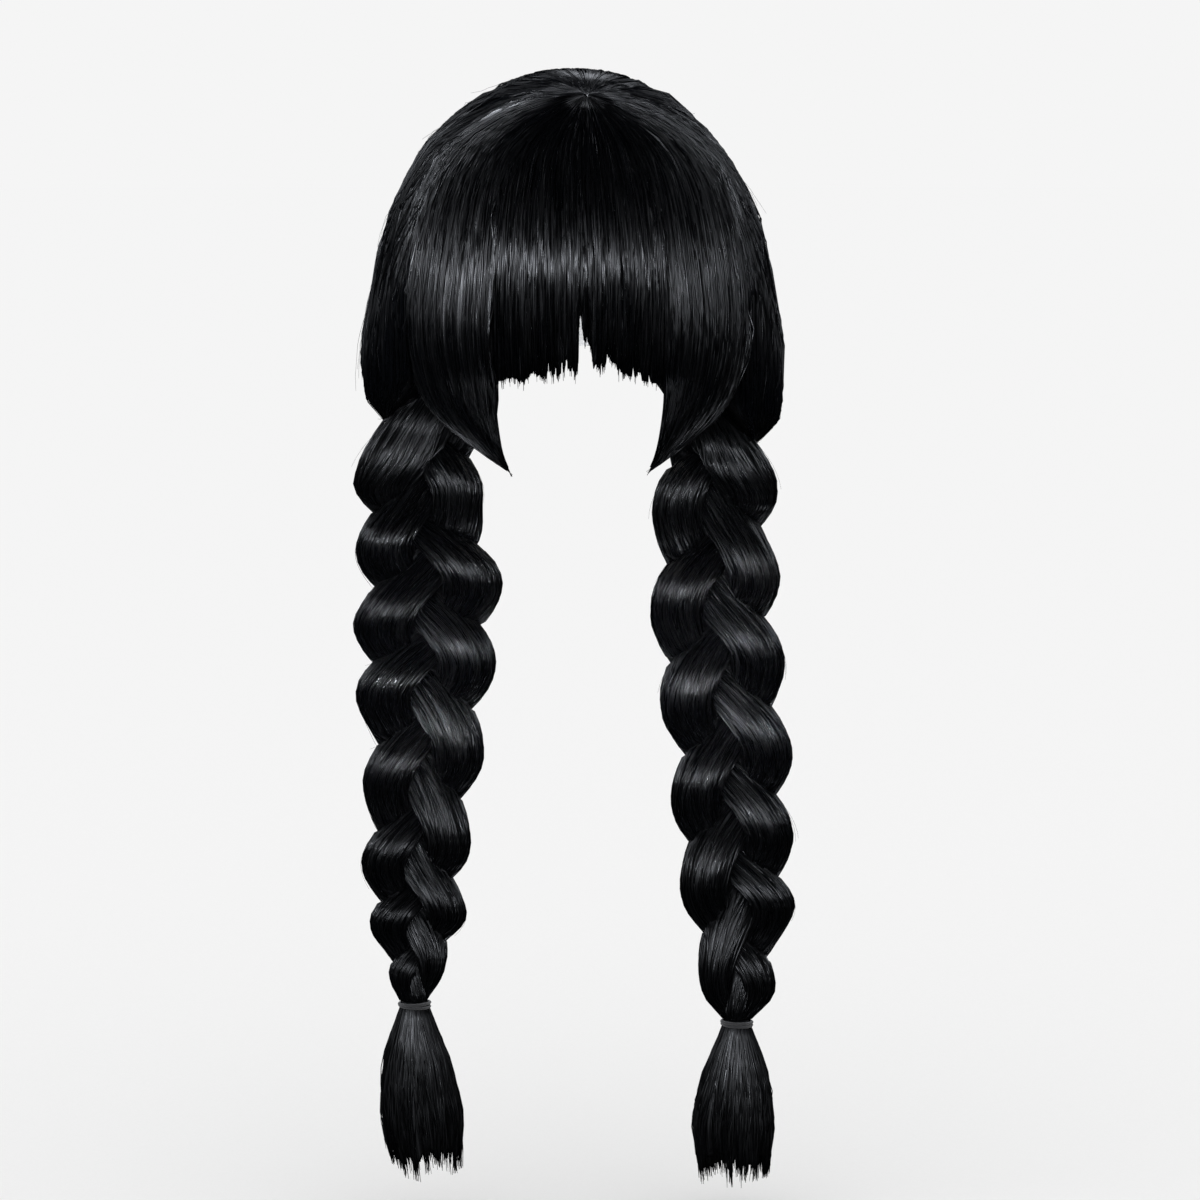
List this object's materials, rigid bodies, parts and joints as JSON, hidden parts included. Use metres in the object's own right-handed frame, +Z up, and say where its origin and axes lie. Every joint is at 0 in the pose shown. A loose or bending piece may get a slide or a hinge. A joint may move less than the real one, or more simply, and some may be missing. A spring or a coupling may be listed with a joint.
{
  "type": "braided wig",
  "caption": "Long black wig with a blunt fringe, pointed cheek locks and plaited braids that end in tied brush tassels, on a thin cap.",
  "frame": {"origin": "inside of the cap's crown, where the top of a head touches it", "axes": "+Z up along the hanging braids, -Y out of the face opening, -X the viewer's left from the front"},
  "size_m": [0.2318, 0.2184, 0.5911],
  "materials": {
    "hair": "glossy black synthetic hair",
    "cap_net": "matt pale stretch net with sewn rows",
    "elastic": "matt dark grey covered elastic"
  },
  "bodies": {
    "root": {"cap": "cap_net", "fringe": "hair", "side_lock_left": "hair", "side_lock_right": "hair", "crown_hair_left": "hair", "crown_hair_right": "hair", "braid_left_strand_a": "hair", "braid_left_strand_b": "hair", "braid_left_strand_c": "hair", "braid_right_strand_a": "hair", "braid_right_strand_b": "hair", "braid_right_strand_c": "hair", "hair_tie_left": "elastic", "hair_tie_right": "elastic", "tassel_left": "hair", "tassel_right": "hair"}
  },
  "joints": []
}
